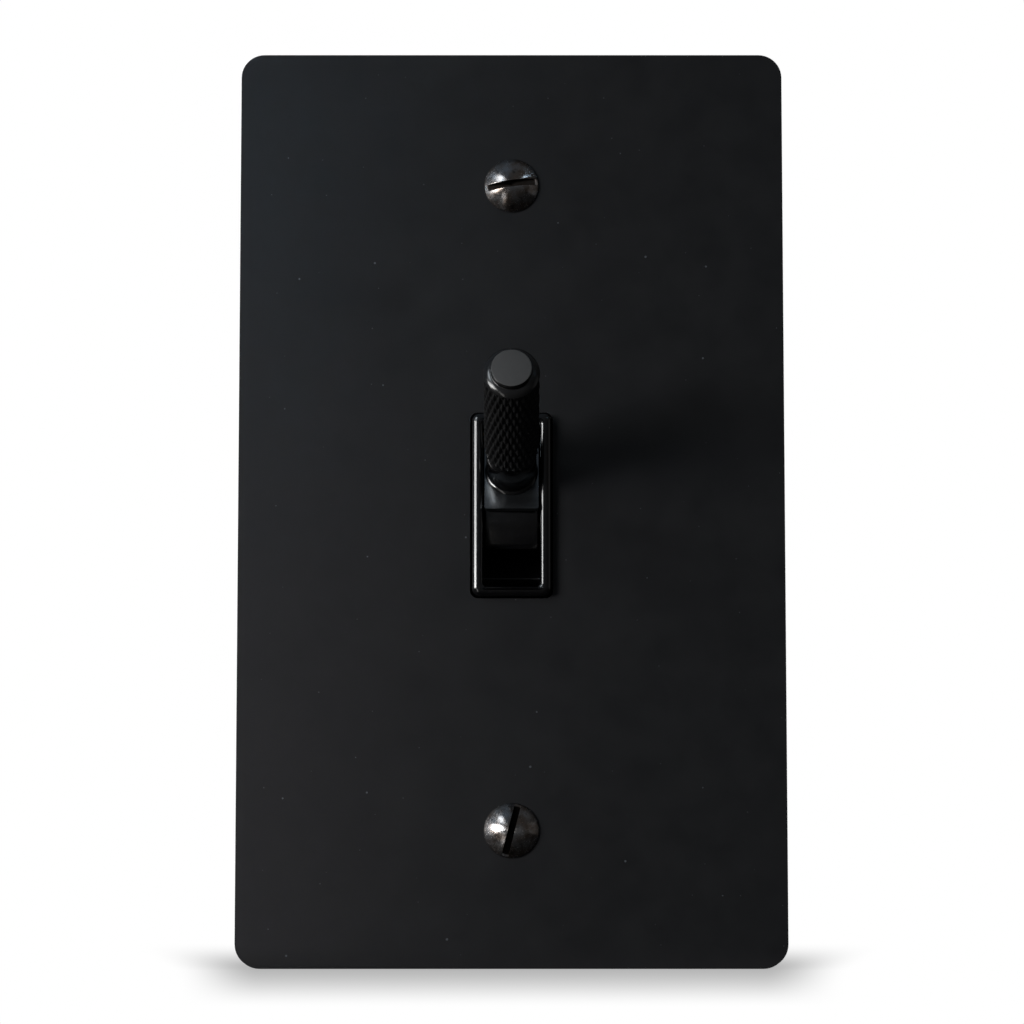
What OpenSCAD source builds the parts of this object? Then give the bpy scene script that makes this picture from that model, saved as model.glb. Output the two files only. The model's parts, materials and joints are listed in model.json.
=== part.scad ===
// Single-pole wall switch with a knurled toggle lever on a rocking barrel.
// X is to the right, Y goes into the wall and Z is up.
// The origin is the centre of the wall plate's back face, where it meets the wall.

/* [Wall plate] */
// Width of the wall plate
plate_w = 70; // [68:0.5:90]
// Height of the wall plate
plate_h = 118; // [112:0.5:130]
// Thickness of the wall plate
plate_t = 3.2; // [2.8:0.1:4]
// Corner radius of the wall plate
plate_r = 3; // [1:0.5:6]
// Distance between the two box screws
box_screw_span = 83.34; // [83:0.01:84]
// Width of the opening for the toggle bezel
opening_w = 10.6; // [10.4:0.1:11]
// Height of the opening for the toggle bezel
opening_h = 24; // [23.8:0.1:24.6]

/* [Toggle bezel] */
// Width of the bezel collar
bezel_w = 10; // [9.6:0.1:10.2]
// Height of the bezel collar
bezel_h = 23.4; // [23:0.1:23.6]
// Width of the window that the lever swings in
window_w = 7.4; // [7.3:0.1:7.8]
// Height of the window that the lever swings in
window_h = 21.3; // [21:0.1:21.6]
// How far the bezel stands proud of the wall plate
bezel_proud = 1.6; // [0.6:0.1:2]

/* [Lever] */
// Tilt of the lever from level, up when on and down when off
lever_tilt = 17; // [12:1:18]
// Distance of the lever pivot behind the wall
pivot_y = 10.2; // [9.8:0.1:11]
// Distance from the pivot to the flat land that the lever stands on
land_radius = 14.6; // [14.4:0.1:15]
// Length of the lever from the land to its tip
lever_length = 29.5; // [24:0.5:32]
// Length of the smooth collar under the knurl
collar_length = 6.15; // [3:0.05:8]
// Diameter of the knurled sleeve over its crests
knurl_d = 7; // [6:0.1:7]
// Diameter of the smooth collar
collar_d = 6.4; // [5.6:0.1:6.6]
// Diameter of the tip button
tip_d = 5; // [4:0.1:5.6]

/* [Switch body] */
// Width of the switch body
body_w = 31; // [30:0.5:34]
// Height of the switch body
body_h = 52; // [50:0.5:53]
// Distance from the wall to the back of the switch body
body_depth = 28.2; // [28:0.1:32]

/* [Hidden] */
$fn = 64;
eps = 0.01;
slip = 0.02;                            // gap round a pressed or threaded shank
play = 0.04;                            // running gap of a shaft in its bore

// Layers through the wall plate and the strap
plate_front = -plate_t;
strap_t = 1.2;
strap_front = -strap_t;
strap_back = 0;
cover_t = 2.5;
cover_back = strap_back + cover_t;
bezel_front = plate_front - bezel_proud;
flange_t = 1.4;
flange_back = strap_back + flange_t;
flange_w = 14;
flange_h = 27;

// Strap and its fastenings
strap_w = 19.5;
strap_h = 104.8;
strap_gap = 0.3;
opening_r = 1;
stud_z = 30.16;
stud_r = 1.5;
stud_end = 5;
washer_t = 0.6;
washer_r = 3.2;
nut_t = 2.4;
nut_across_flats = 5.5;
rivet_z = 18.5;
rivet_r = 1.5;
rivet_head_r = 2.4;
rivet_sink = 0.8;
rivet_tail_t = 0.9;

// Box screws, number 6-32 by 1-1/4 inch
box_screw_z = box_screw_span / 2;
box_screw_r = 1.75;
box_screw_neck_r = 1.45;
box_screw_length = 31.75;
box_screw_point = 0.8;
box_head_r = 3.5;
box_head_h = 1.9;
box_slot_w = 0.85;
box_slot_depth = 1.5;
upper_slot_turn = -8;
lower_slot_turn = 76;

// Ground ear on the strap
ear_z = -32.5;
ear_h = 7.5;
ear_depth = 9;
ground_screw_r = 1.9;
ground_head_r = 3.6;
ground_head_h = 2.2;
ground_screw_y = 4.7;
ground_screw_length = 5;

// Driver slots of the ground and terminal screws
driver_slot_half = 0.5;
driver_slot_depth = 1;

// Rocker and lever, in distances from the pivot along the lever
pin_r = 1.5;
pin_half = 6.5;
hub_r = 3.2;
hub_half = 4.2;
barrel_half_w = 3.3;
barrel_r = 13.5;
barrel_wall = 2.2;
barrel_half_angle = 41;
web_half_angle = 32;
web_half_w = 1.5;
boss_r = 2.7;
land_t = 0.8;
land_w = 6.9;
land_h = 10.4;
land_seat = land_radius - land_t;
stem_r = 1.5;
stem_start = 7;
foot_h = 0.7;
foot_r = 3.4;
collar_end = land_radius + foot_h + collar_length;
shoulder_h = 0.65;
button_h = 0.95;
tip_end = land_radius + lever_length;
sleeve_end = tip_end - button_h - shoulder_h;
stem_end = tip_end - button_h - 0.4;

// Spring and plunger in the rocker's tail, behind the pivot
tail_r = 2.9;
tail_end = 8.4;
tail_bore_r = 1.9;
tail_bore_start = 4.2;
plunger_r = 1.85;
plunger_tip_r = 1;
plunger_tip_at = 9.9;
plunger_back = 7.4;
plunger_step = 8.6;
spring_wire = 0.35;
spring_turns = 5;

// Contact arm, which rocks on its own pin
arm_y = 23.2;
arm_pin_r = 0.8;
arm_pin_half = 4.8;
knuckle_r = 1.6;
arm_half_w = 3;
arm_t = 0.9;
arm_length = 10.4;
arm_wing_angle = 16;
arm_throw = 14;
arm_on = arm_throw / 2;
contact_at = 8.6;
contact_r = 1.7;
contact_t = 0.9;

// Switch body
body_r = 1.6;
cavity_w = 20.4;
cavity_h = 44;
floor_y = 26.2;
cheek_x = 4.5;
cheek_t = 2;
cheek_half_h = 12;
boss_half_h = 4.4;
guard_start_angle = 52;
guard_end_angle = 76;
guard_r0 = 5;
guard_r1 = 11;
cheek_back = 9.6;
cover_hole_w = 8.8;
cover_hole_h = 25.8;
case_screw_x = 12.9;
case_screw_z = 23.4;
case_screw_r = 1.2;
case_head_r = 2.2;
case_head_t = 1.6;
case_screw_tip = 0.8;
case_slot_half = 0.35;
case_slot_depth = 0.7;
case_head_sink = 0.2;

// Terminals on the right-hand side of the body
strip_t = 1;
strip_front = floor_y - strip_t;
strip_h = 8;
terminal_z = 14;
terminal_x = 12.2;
terminal_front = 9;
terminal_screw_y = 13.6;
recess_h = 11;
recess_front = 7.6;
recess_back = 20;

// Shallow panel sunk in the housing's back
panel_w = 17;
panel_h = 34;
panel_depth = 0.6;
clamp_t = 0.8;
clamp_size = 7.4;
terminal_screw_r = 1.7;
terminal_head_r = 3.3;
terminal_head_h = 1.8;
pin_ear_gap = 0.3;
pin_ear_t = 1;
pin_ear_r = 1.8;
shelf_y = 22.75;
shelf_end = -5.6;

// ---------- Shared shapes ----------

// Rectangle with round corners, built from circles and squares so that it stays exact
module round_rect(w, h, r) {
    square([w - 2 * r, h], center = true);
    square([w, h - 2 * r], center = true);
    for (x = [-1, 1], z = [-1, 1]) translate([x * (w / 2 - r), z * (h / 2 - r)]) circle(r);
}

// Extrudes a flat X-Z outline from y0 to y1
module slab(y0, y1) {
    translate([0, y1, 0]) rotate([90, 0, 0]) linear_extrude(y1 - y0) children();
}

// Cylinder along Y from y0 to y1
module rod_y(r, y0, y1, x = 0, z = 0) {
    translate([x, y0, z]) rotate([-90, 0, 0]) cylinder(r = r, h = y1 - y0);
}

// Cylinder along X from x0 to x1
module rod_x(r, x0, x1, y = 0, z = 0) {
    translate([x0, y, z]) rotate([0, 90, 0]) cylinder(r = r, h = x1 - x0);
}

// Box given by its low and high corners
module box(low, high) {
    translate(low) cube(high - low);
}

// Puts +Z along the lever, measured from the pivot
module on_lever() {
    translate([0, pivot_y, 0]) rotate([90 - lever_tilt, 0, 0]) children();
}

// Puts +Z along the rocker's tail, measured from the pivot
module on_tail() {
    translate([0, pivot_y, 0]) rotate([-90 - lever_tilt, 0, 0]) children();
}

// Places the contact arm's own frame at its closed position
module on_arm() {
    translate([0, arm_y, 0]) rotate([arm_on, 0, 0]) children();
}

// Copies its children above and below the middle
module above_and_below(z) {
    for (s = [-1, 1]) translate([0, 0, s * z]) children();
}

// Ring sector about the pivot, its angles counted upward from straight out of the wall
module sector(r0, r1, start, end, half_w) {
    translate([-half_w, pivot_y, 0]) rotate([0, 90, 0]) rotate([0, 0, 270 - end])
        rotate_extrude(angle = end - start, $fn = 128)
            translate([r0, 0]) square([r1 - r0, 2 * half_w]);
}

// ---------- Wall plate and fastenings ----------

module wall_plate() {
    color("#1c1d20") difference() {
        slab(plate_front, 0) round_rect(plate_w, plate_h, plate_r);
        slab(strap_front, eps) round_rect(strap_w + 2 * strap_gap, strap_h + 2 * strap_gap, 2);
        slab(plate_front - eps, 0) round_rect(opening_w, opening_h, opening_r);
        above_and_below(box_screw_z) rod_y(box_screw_r + 0.15, plate_front - eps, 0);
    }
}

// One slotted screw with a domed head, at its own slot angle
module plate_screw(z, slot_turn) {
    dome_r = (box_head_r * box_head_r + box_head_h * box_head_h) / (2 * box_head_h);
    head_top = plate_front - box_head_h;
    tip = plate_front + box_screw_length;
    translate([0, 0, z]) {
        difference() {
            intersection() {
                rod_y(box_head_r, head_top, plate_front);
                translate([0, head_top + dome_r, 0]) sphere(dome_r, $fn = 96);
            }
            rotate([0, slot_turn, 0])
                box([-box_head_r - 1, head_top - 1, -box_slot_w / 2],
                    [box_head_r + 1, head_top + box_slot_depth, box_slot_w / 2]);
        }
        rod_y(box_screw_neck_r, plate_front - eps, 0);
        rod_y(box_screw_r, 0, tip - box_screw_point);
        translate([0, tip - box_screw_point, 0]) rotate([-90, 0, 0])
            cylinder(r1 = box_screw_r, r2 = box_screw_r - box_screw_point, h = box_screw_point);
    }
}

module upper_plate_screw() {
    color("#6d6661") plate_screw(box_screw_z, upper_slot_turn);
}

module lower_plate_screw() {
    color("#6d6661") plate_screw(-box_screw_z, lower_slot_turn);
}

// Threaded studs welded to the back of the plate
module plate_studs() {
    color("silver") above_and_below(stud_z) rod_y(stud_r, strap_front, stud_end);
}

module stud_washers() {
    color("silver") above_and_below(stud_z) difference() {
        rod_y(washer_r, strap_back, strap_back + washer_t);
        rod_y(stud_r + slip, strap_back - 1, strap_back + washer_t + 1);
    }
}

module stud_nuts() {
    nut_front = strap_back + washer_t;
    color("silver") above_and_below(stud_z) difference() {
        translate([0, nut_front, 0]) rotate([-90, 0, 0])
            cylinder(d = nut_across_flats / cos(30), h = nut_t, $fn = 6);
        rod_y(stud_r + slip, nut_front - 1, nut_front + nut_t + 1);
    }
}

// ---------- Mounting strap ----------

module mounting_strap() {
    slot_half = 1.4;
    slot_r = 2.1;
    ear_x = -strap_w / 2;
    color("#b9bcc0") difference() {
        union() {
            slab(strap_front, strap_back) round_rect(strap_w, strap_h, 1.5);
            box([ear_x, strap_front, ear_z - ear_h / 2],
                [ear_x + strap_t, ear_depth, ear_z + ear_h / 2]);
        }
        slab(strap_front - 1, strap_back + 1) {
            round_rect(opening_w, opening_h, opening_r);
            for (s = [-1, 1]) translate([0, s * box_screw_z]) {
                square([2 * slot_half, 2 * slot_r], center = true);
                for (x = [-slot_half, slot_half]) translate([x, 0]) circle(slot_r);
            }
        }
        above_and_below(stud_z) rod_y(stud_r + 0.2, strap_front - 1, strap_back + 1);
        above_and_below(rivet_z) {
            rod_y(rivet_r + slip, strap_front - 1, strap_back + 1);
            translate([0, strap_front - eps, 0]) rotate([-90, 0, 0])
                cylinder(r1 = rivet_head_r + slip, r2 = rivet_r + slip, h = rivet_sink + slip);
        }
        rod_x(ground_screw_r + slip, ear_x - 1, ear_x + 2 * strap_t, ground_screw_y, ear_z);
    }
}

// Countersunk rivets that join the strap to the front cover
module strap_rivets() {
    color("#9a9da1") above_and_below(rivet_z) {
        translate([0, strap_front, 0]) rotate([-90, 0, 0])
            cylinder(r1 = rivet_head_r, r2 = rivet_r, h = rivet_sink);
        rod_y(rivet_r, strap_front + rivet_sink, cover_back);
        rod_y(rivet_head_r, cover_back, cover_back + rivet_tail_t);
    }
}

module ground_screw() {
    face = -strap_w / 2;
    color("#2f7d46") {
        difference() {
            rod_x(ground_head_r, face - ground_head_h, face, ground_screw_y, ear_z);
            box([face - ground_head_h - 1, ground_screw_y - ground_head_r - 1, ear_z - driver_slot_half],
                [face - ground_head_h + driver_slot_depth, ground_screw_y + ground_head_r + 1,
                 ear_z + driver_slot_half]);
        }
        rod_x(ground_screw_r, face, face + ground_screw_length, ground_screw_y, ear_z);
    }
}

// ---------- Bezel, cover and housing ----------

module toggle_bezel() {
    lip = 0.5;
    color("#101114") difference() {
        union() {
            slab(bezel_front + lip, strap_back) round_rect(bezel_w, bezel_h, 0.9);
            slab(bezel_front, bezel_front + lip) round_rect(bezel_w - lip, bezel_h - lip, 0.7);
            slab(strap_back, flange_back) round_rect(flange_w, flange_h, 1);
        }
        slab(bezel_front - 1, flange_back + 1) round_rect(window_w, window_h, 0.6);
    }
}

module front_cover() {
    color("#1a1b1e") difference() {
        union() {
            slab(strap_back, cover_back) round_rect(body_w, body_h, body_r);
            for (s = [-1, 1]) translate([s * (cheek_x + cheek_t / 2), 0, 0]) {
                box([-cheek_t / 2, cover_back - eps, -cheek_half_h],
                    [cheek_t / 2, cheek_back, cheek_half_h]);
                box([-cheek_t / 2, cheek_back - eps, -boss_half_h],
                    [cheek_t / 2, pivot_y, boss_half_h]);
                rod_x(boss_half_h, -cheek_t / 2, cheek_t / 2, pivot_y, 0);
            }
            // Guards that close the view past the barrel's ends
            sector(guard_r0, guard_r1, guard_start_angle, guard_end_angle, cheek_x + eps);
            sector(guard_r0, guard_r1, -guard_end_angle, -guard_start_angle, cheek_x + eps);
        }
        slab(strap_back - 1, flange_back) round_rect(flange_w + 0.2, flange_h + 0.2, 1.1);
        slab(flange_back - eps, cover_back + 1) round_rect(cover_hole_w, cover_hole_h, 1);
        rod_x(pin_r + slip, -body_w / 2, body_w / 2, pivot_y, 0);
        above_and_below(rivet_z) rod_y(rivet_r + slip, strap_back - 1, cover_back + 1);
        for (x = [-1, 1], z = [-1, 1])
            rod_y(case_screw_r + slip, case_screw_tip, cover_back + 1,
                  x * case_screw_x, z * case_screw_z);
    }
}

module rear_housing() {
    wall = body_w / 2;
    color("#26282b") difference() {
        slab(cover_back, body_depth) round_rect(body_w, body_h, body_r);
        slab(cover_back - 1, floor_y) round_rect(cavity_w, cavity_h, 2);
        slab(body_depth - panel_depth, body_depth + 1) round_rect(panel_w, panel_h, 1.5);
        for (x = [-1, 1], z = [-1, 1]) {
            rod_y(case_screw_r + 0.15, cover_back - 1, body_depth + 1,
                  x * case_screw_x, z * case_screw_z);
            rod_y(case_head_r + 0.1, body_depth - case_head_t, body_depth + 1,
                  x * case_screw_x, z * case_screw_z);
        }
        // Side recesses for the terminals, and the slots that their strips pass through
        above_and_below(terminal_z) {
            box([terminal_x, recess_front, -recess_h / 2], [wall + 1, recess_back, recess_h / 2]);
            box([terminal_x - 0.1, recess_back - 1, -strip_h / 2 - 0.1],
                [terminal_x + strip_t + 0.1, floor_y, strip_h / 2 + 0.1]);
            box([0, strip_front - 0.1, -strip_h / 2 - 0.1],
                [terminal_x + strip_t + 0.1, floor_y, strip_h / 2 + 0.1]);
            rod_x(terminal_screw_r + 0.2, cavity_w / 2 + 0.5, wall, terminal_screw_y, 0);
        }
    }
}

module housing_screws() {
    head_front = body_depth - case_head_t;
    head_back = body_depth - case_head_sink;
    color("silver") for (x = [-1, 1], z = [-1, 1])
        translate([x * case_screw_x, 0, z * case_screw_z]) {
            rod_y(case_screw_r, case_screw_tip + 0.1, head_front);
            difference() {
                rod_y(case_head_r, head_front, head_back);
                box([-case_slot_half, head_back - case_slot_depth, -case_head_r - 1],
                    [case_slot_half, body_depth, case_head_r + 1]);
            }
        }
}

module pivot_pin() {
    color("silver") rod_x(pin_r, -pin_half, pin_half, pivot_y, 0);
}

// ---------- Rocker and lever ----------

module rocker() {
    color("#0d0e10") difference() {
        union() {
            sector(barrel_r - barrel_wall, barrel_r, lever_tilt - barrel_half_angle,
                   lever_tilt + barrel_half_angle, barrel_half_w);
            sector(hub_r - 1, barrel_r - barrel_wall + eps, lever_tilt - web_half_angle,
                   lever_tilt + web_half_angle, web_half_w);
            rod_x(hub_r, -hub_half, hub_half, pivot_y, 0);
            on_lever() cylinder(r = boss_r, h = land_seat);
            on_tail() cylinder(r = tail_r, h = tail_end);
        }
        rod_x(pin_r + play, -pin_half, pin_half, pivot_y, 0);
        on_lever() translate([0, 0, stem_start - 0.2]) cylinder(r = stem_r + slip, h = land_seat);
        on_tail() translate([0, 0, tail_bore_start]) cylinder(r = tail_bore_r, h = tail_end);
    }
}

module lever_saddle() {
    color("#3d454d") on_lever() difference() {
        translate([0, 0, land_seat]) linear_extrude(land_t) round_rect(land_w, land_h, 0.3);
        cylinder(r = stem_r + slip, h = land_radius + 1);
    }
}

module lever_stem() {
    color("silver") on_lever() translate([0, 0, stem_start])
        cylinder(r = stem_r, h = stem_end - stem_start);
}

// Coved ring at the foot of the collar
module lever_foot() {
    cove_r = 0.45;
    color("#16171a") on_lever() translate([0, 0, land_radius]) rotate_extrude() difference() {
        translate([stem_r + slip, 0]) square([foot_r - stem_r - slip, foot_h]);
        translate([foot_r, foot_h]) circle(cove_r);
    }
}

module lever_collar() {
    color("#16171a") on_lever() translate([0, 0, land_radius + foot_h]) rotate_extrude()
        translate([stem_r + slip, 0]) square([collar_d / 2 - stem_r - slip, collar_length]);
}

// Knurled grip, as a plain sleeve over the knurl's crests
module knurled_sleeve() {
    chamfer = 0.3;
    color("#17181a") on_lever() translate([0, 0, collar_end]) rotate_extrude() polygon([
        [stem_r + slip, 0], [knurl_d / 2 - chamfer, 0], [knurl_d / 2, chamfer],
        [knurl_d / 2, sleeve_end - collar_end], [stem_r + slip, sleeve_end - collar_end]]);
}

// Rounded shoulder with a flat button on top, screwed onto the stem
module lever_tip() {
    color("#2b2c2f") on_lever() difference() {
        union() {
            translate([0, 0, sleeve_end]) rotate_extrude() {
                square([knurl_d / 2 - shoulder_h, shoulder_h]);
                intersection() {
                    translate([knurl_d / 2 - shoulder_h, 0]) circle(shoulder_h);
                    square([knurl_d, shoulder_h]);
                }
            }
            translate([0, 0, sleeve_end]) cylinder(d = tip_d, h = tip_end - sleeve_end);
        }
        cylinder(r = stem_r + slip, h = stem_end);
    }
}

// ---------- Snap action ----------

// Closed ring stack that fills the coil spring's place in the tail
module plunger_spring() {
    length = plunger_back - tail_bore_start;
    pitch = (length - 2 * spring_wire) / (spring_turns - 1);
    color("silver") on_tail() for (i = [0 : spring_turns - 1])
        translate([0, 0, tail_bore_start + spring_wire + i * pitch]) rotate_extrude()
            translate([tail_bore_r - spring_wire - 0.1, 0]) circle(spring_wire, $fn = 16);
}

module contact_plunger() {
    color("ivory") on_tail() {
        translate([0, 0, plunger_back]) cylinder(r = plunger_r, h = plunger_step - plunger_back);
        translate([0, 0, plunger_step]) cylinder(r = plunger_tip_r, h = plunger_tip_at - plunger_step);
        translate([0, 0, plunger_tip_at]) sphere(plunger_tip_r);
    }
}

// Places a wing's frame: +Z runs out along the wing, -Y is its front face
module on_wing(side) {
    on_arm() translate([0, -knuckle_r, 0]) mirror([0, 0, side < 0 ? 1 : 0])
        rotate([arm_wing_angle, 0, 0]) children();
}

module contact_arm() {
    color("#b08d45") difference() {
        union() {
            for (side = [-1, 1]) on_wing(side)
                box([-arm_half_w, 0, -0.2], [arm_half_w, arm_t, arm_length]);
            on_arm() rod_x(knuckle_r, -arm_half_w, arm_half_w);
        }
        rod_x(arm_pin_r + play, -arm_pin_half, arm_pin_half, arm_y, 0);
    }
}

module moving_contact() {
    color("#d8d8d4") on_wing(-1) translate([0, 0, contact_at])
        rod_y(contact_r, arm_t, arm_t + contact_t);
}

module contact_pivot_pin() {
    color("silver") rod_x(arm_pin_r, -arm_pin_half, arm_pin_half, arm_y, 0);
}

// ---------- Terminals ----------

// Side plate and floor strip that both terminals share
module terminal_strip(z) {
    translate([0, 0, z]) difference() {
        union() {
            box([terminal_x, terminal_front, -strip_h / 2], [terminal_x + strip_t, floor_y, strip_h / 2]);
            box([-arm_half_w, strip_front, -strip_h / 2], [terminal_x + eps, floor_y, strip_h / 2]);
        }
        rod_x(terminal_screw_r + slip, terminal_x - 1, terminal_x + strip_t + 1, terminal_screw_y, 0);
    }
}

// Line side: the strip carries two ears that hold the contact arm's pin
module line_terminal() {
    ear_in = arm_half_w + pin_ear_gap;
    ear_out = ear_in + pin_ear_t;
    color("#b5923f") difference() {
        union() {
            terminal_strip(terminal_z);
            box([-ear_out, strip_front, -pin_ear_r], [ear_out, floor_y, terminal_z]);
            for (side = [0, 1]) mirror([side, 0, 0]) {
                box([ear_in, arm_y, -pin_ear_r], [ear_out, strip_front + eps, pin_ear_r]);
                rod_x(pin_ear_r, ear_in, ear_out, arm_y, 0);
            }
        }
        rod_x(arm_pin_r + slip, -arm_pin_half, arm_pin_half, arm_y, 0);
    }
}

// Load side: the strip rises to a shelf that carries the fixed contact
module load_terminal() {
    shelf_w = arm_half_w;
    color("#b5923f") {
        terminal_strip(-terminal_z);
        box([-shelf_w, shelf_y, -terminal_z], [shelf_w, shelf_y + strip_t, shelf_end]);
        box([-shelf_w, shelf_y, -terminal_z - strip_t], [shelf_w, strip_front + eps, -terminal_z]);
    }
}

// Low button with a chamfered rim that the moving contact closes on
module fixed_contact() {
    height = 0.4;
    chamfer = 0.2;
    color("#d8d8d4") translate([0, shelf_y, -contact_at]) rotate([90, 0, 0]) {
        cylinder(r = contact_r, h = height - chamfer);
        translate([0, 0, height - chamfer])
            cylinder(r1 = contact_r, r2 = contact_r - chamfer, h = chamfer);
    }
}

module terminal_screws() {
    seat = terminal_x + strip_t + clamp_t;
    head_end = seat + terminal_head_h;
    color("#c79f45") above_and_below(terminal_z) {
        rod_x(terminal_screw_r, terminal_x - 1.2, seat, terminal_screw_y, 0);
        difference() {
            rod_x(terminal_head_r, seat, head_end, terminal_screw_y, 0);
            box([head_end - driver_slot_depth, terminal_screw_y - terminal_head_r - 1, -driver_slot_half],
                [head_end + 1, terminal_screw_y + terminal_head_r + 1, driver_slot_half]);
        }
    }
}

module wire_clamps() {
    seat = terminal_x + strip_t;
    half = clamp_size / 2;
    color("#c9b98a") above_and_below(terminal_z) difference() {
        box([seat, terminal_screw_y - half, -half], [seat + clamp_t, terminal_screw_y + half, half]);
        rod_x(terminal_screw_r + slip, seat - 1, seat + clamp_t + 1, terminal_screw_y, 0);
    }
}

// Fibre pad that stops the upper wing of the contact arm when the switch is off
module stop_pad() {
    pad_front = 21.8;
    pad_low = 7;
    pad_high = 10;
    color("#6b4a33") box([-arm_half_w, pad_front, pad_low], [arm_half_w, strip_front, pad_high]);
}

wall_plate();
upper_plate_screw();
lower_plate_screw();
plate_studs();
stud_washers();
stud_nuts();
mounting_strap();
strap_rivets();
ground_screw();
toggle_bezel();
front_cover();
rear_housing();
housing_screws();
pivot_pin();
rocker();
lever_saddle();
lever_stem();
lever_foot();
lever_collar();
knurled_sleeve();
lever_tip();
plunger_spring();
contact_plunger();
contact_arm();
moving_contact();
contact_pivot_pin();
line_terminal();
load_terminal();
fixed_contact();
terminal_screws();
wire_clamps();
stop_pad();
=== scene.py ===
"""Looks of the toggle wall switch, built round its CAD frame. Metres, with +Y into the wall."""
import json
import math
import bpy
from mathutils import Matrix, Vector

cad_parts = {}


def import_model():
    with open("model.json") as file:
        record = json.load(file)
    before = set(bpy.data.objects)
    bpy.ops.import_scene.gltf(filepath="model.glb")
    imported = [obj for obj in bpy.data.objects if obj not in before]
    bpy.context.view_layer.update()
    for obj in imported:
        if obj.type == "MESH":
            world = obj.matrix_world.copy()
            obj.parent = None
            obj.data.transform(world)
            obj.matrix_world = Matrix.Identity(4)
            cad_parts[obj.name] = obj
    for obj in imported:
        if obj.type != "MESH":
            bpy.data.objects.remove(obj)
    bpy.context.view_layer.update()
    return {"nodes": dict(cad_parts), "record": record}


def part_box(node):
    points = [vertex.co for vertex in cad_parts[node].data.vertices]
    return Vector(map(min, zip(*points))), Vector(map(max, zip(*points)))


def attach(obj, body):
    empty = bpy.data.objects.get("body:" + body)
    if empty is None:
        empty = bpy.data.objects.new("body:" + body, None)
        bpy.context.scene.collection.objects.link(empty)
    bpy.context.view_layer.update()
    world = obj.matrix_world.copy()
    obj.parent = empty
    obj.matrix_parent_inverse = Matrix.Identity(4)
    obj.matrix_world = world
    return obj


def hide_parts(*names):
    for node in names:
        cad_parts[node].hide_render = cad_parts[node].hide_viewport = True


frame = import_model()

MM = 0.001
TAU = 2 * math.pi


# ---------- The frame's places ----------

def joint(name):
    """The record's entry for one joint."""
    return next(j for j in frame["record"]["behaviour"]["joints"] if j["name"] == name)


PLATE_LOW, PLATE_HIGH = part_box("wall_plate")
LEVER_JOINT = joint("lever_tilt")
LEVER_PIVOT = Vector(LEVER_JOINT["pos_m"])
LEVER_TILT = math.radians(LEVER_JOINT["range_deg"][1]) / 2
# Local +Z runs out along the lever, and +Y up over it
ON_LEVER = Matrix.Translation(LEVER_PIVOT) @ Matrix.Rotation(math.radians(90) - LEVER_TILT, 4, "X")
# Local +Z runs back along the rocker's tail
ON_TAIL = Matrix.Translation(LEVER_PIVOT) @ Matrix.Rotation(math.radians(-90) - LEVER_TILT, 4, "X")

STEM_BORE = 1.7 * MM
FOOT_H = 0.7 * MM
BUTTON_R = 2.5 * MM

# Plate screws: a low rim under the dome, and a 6-32 thread
SCREW_RIM_H = 0.22 * MM
SCREW_SLOT_W = 0.86 * MM
SCREW_SLOT_DEPTH = 1.5 * MM
SCREW_NECK_R = 1.45 * MM
THREAD_R = 1.75 * MM
THREAD_PITCH = 0.794 * MM
THREAD_DEPTH = 0.28 * MM


def span_on_lever(node):
    """(start, end, radius) of a round node on the lever, measured from the pivot along the lever."""
    low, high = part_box(node)
    radius = high[0]
    reach = radius * math.cos(LEVER_TILT)
    start = (low[2] - LEVER_PIVOT.z + reach) / math.sin(LEVER_TILT)
    end = (high[2] - LEVER_PIVOT.z - reach) / math.sin(LEVER_TILT)
    return start, end, radius


def button_end():
    """Distance from the pivot to the flat face of the tip's button."""
    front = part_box("lever_tip")[0][1]
    return (LEVER_PIVOT.y - front - BUTTON_R * math.sin(LEVER_TILT)) / math.cos(LEVER_TILT)


def screw_dome(node):
    """The radius of a plate screw's dome, and the Y of the dome's centre."""
    low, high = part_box(node)
    head_r = (high[0] - low[0]) / 2
    height = PLATE_LOW[1] - low[1] - SCREW_RIM_H
    radius = (head_r ** 2 + height ** 2) / (2 * height)
    return radius, low[1] + radius


# ---------- Mesh helpers ----------

def add_mesh(name, verts, faces, matrix=None):
    """A new smooth-shaded object from vertices and faces, moved into place by matrix."""
    mesh = bpy.data.meshes.new(name)
    mesh.from_pydata([tuple(v) for v in verts], [], faces)
    if matrix is not None:
        mesh.transform(matrix)
    mesh.validate()
    mesh.update()
    obj = bpy.data.objects.new(name, mesh)
    bpy.context.scene.collection.objects.link(obj)
    for polygon in mesh.polygons:
        polygon.use_smooth = True
    return obj


def grid_faces(rows, columns, wrap_rows=False):
    """Quads between the points of a grid stored row by row. Each row is a closed loop."""
    faces = []
    for i in range(rows if wrap_rows else rows - 1):
        for j in range(columns):
            a, b = i * columns + j, i * columns + (j + 1) % columns
            c, d = (i + 1) % rows * columns + (j + 1) % columns, (i + 1) % rows * columns + j
            faces.append((a, b, c, d))
    return faces


def end_faces(verts, columns):
    """The two faces that close a tube of such rows."""
    return [tuple(reversed(range(columns))), tuple(range(len(verts) - columns, len(verts)))]


def circle(radius, height, segments):
    """A loop of points round local Z."""
    return [(radius * math.cos(TAU * k / segments), radius * math.sin(TAU * k / segments), height)
            for k in range(segments)]


def lathe(name, profile, segments=96, matrix=None, closed=False):
    """Turns (radius, height) points about local Z. A closed profile makes a ring; an open one is capped."""
    verts = [point for r, z in profile for point in circle(r, z, segments)]
    faces = grid_faces(len(profile), segments, wrap_rows=closed)
    if not closed:
        faces += end_faces(verts, segments)
    return add_mesh(name, verts, faces, matrix)


def arc(centre, radius, start, end, steps):
    """Points on an arc in the profile plane, angles in degrees."""
    angles = [math.radians(start + (end - start) * k / steps) for k in range(steps + 1)]
    return [(centre[0] + radius * math.cos(a), centre[1] + radius * math.sin(a)) for a in angles]


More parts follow.
